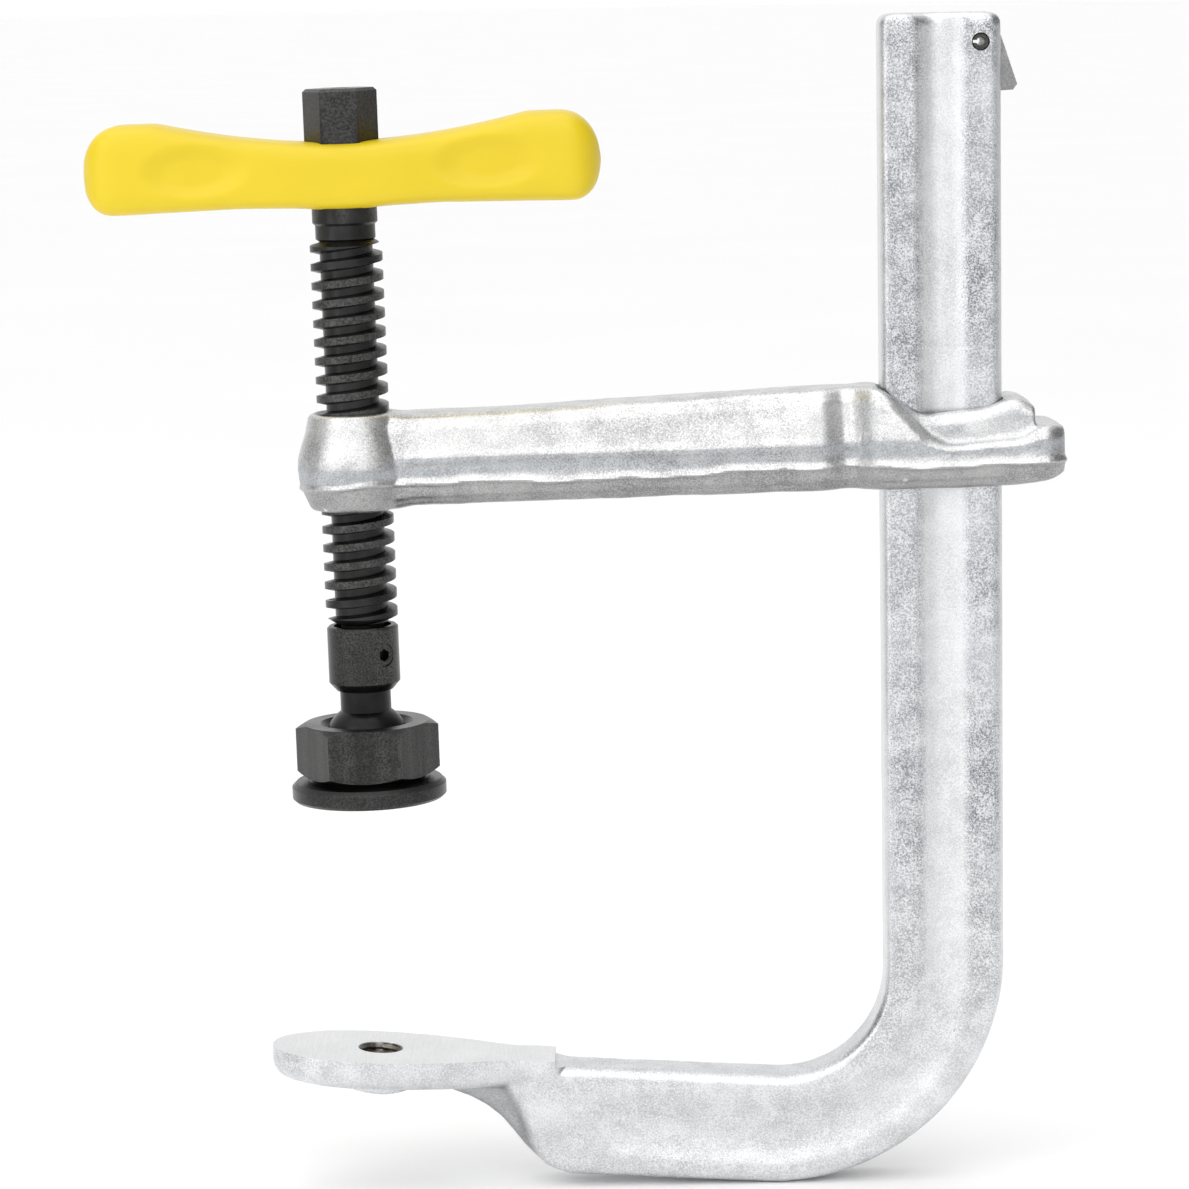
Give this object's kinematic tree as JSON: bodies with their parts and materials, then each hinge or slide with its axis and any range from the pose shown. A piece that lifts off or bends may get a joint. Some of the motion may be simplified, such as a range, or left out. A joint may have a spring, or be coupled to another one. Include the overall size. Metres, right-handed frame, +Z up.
{
  "type": "bar clamp",
  "caption": "Sliding-arm bar clamp with a forged L-shaped rail, a T-handle screw with trapezoidal thread and a swivel pad.",
  "frame": {"origin": "centre of the tapped hole in the fixed foot, on its clamping face", "axes": "+X from the foot towards the rail, +Z up along the rail, +Y to the back, Y = 0 the middle plane"},
  "size_m": [0.258, 0.0414, 0.3145],
  "materials": {
    "zinc_steel": "bright zinc plate over a blasted forging",
    "zinc_steel_arm": "bright zinc plate over a blasted forging",
    "latch_steel": "zinc plated plate steel",
    "spring_steel": "oiled spring steel",
    "black_oxide_screw": "black oxide, lightly oiled, worn on the thread crests",
    "black_oxide": "black oxide, lightly oiled",
    "yellow_handle": "satin moulded yellow"
  },
  "bodies": {
    "frame": {"rail": "zinc_steel", "stop_roll_pin": "spring_steel", "latch_spring": "spring_steel"},
    "latch": {"stop_latch": "latch_steel"},
    "arm": {"sliding_arm": "zinc_steel_arm"},
    "swivel": {"swivel_stud": "black_oxide", "swivel_set_screw": "black_oxide"},
    "screw": {"spindle": "black_oxide_screw", "handle": "yellow_handle"},
    "pad": {"pad_disc": "black_oxide", "pad_nut": "black_oxide"}
  },
  "joints": [
    {"name": "arm_slide", "type": "slide", "parent": "frame", "child": "arm", "axis": [0, 0, 1], "range_m": [-0.022, 0.08]},
    {"name": "spindle_feed", "type": "slide", "parent": "arm", "child": "swivel", "axis": [0.0178, 0, -0.9998], "range_m": [-0.03001, 0.04001]},
    {"name": "spindle_turn", "type": "hinge", "parent": "swivel", "child": "screw", "pos_m": [-0.00196, 0, 0.10998], "axis": [0.0178, 0, -0.9998], "range_deg": [-2160, 2880]},
    {"name": "pad_tilt", "type": "hinge", "parent": "swivel", "child": "pad", "pos_m": [-0.0015, 0, 0.08399], "axis": [0, 1, 0], "range_deg": [-18, 18]},
    {"name": "latch_press", "type": "hinge", "parent": "frame", "child": "latch", "pos_m": [0.1636, 0, 0.2688], "axis": [0, 1, 0], "range_deg": [0, 20], "stiffness_Nm_per_rad": 0.05, "springref_deg": -20.05, "deforming": ["latch_spring"]}
  ],
  "couplings": [
    {"joint": "spindle_feed", "follows": "spindle_turn", "m_per_rad": 0.00079577}
  ]
}
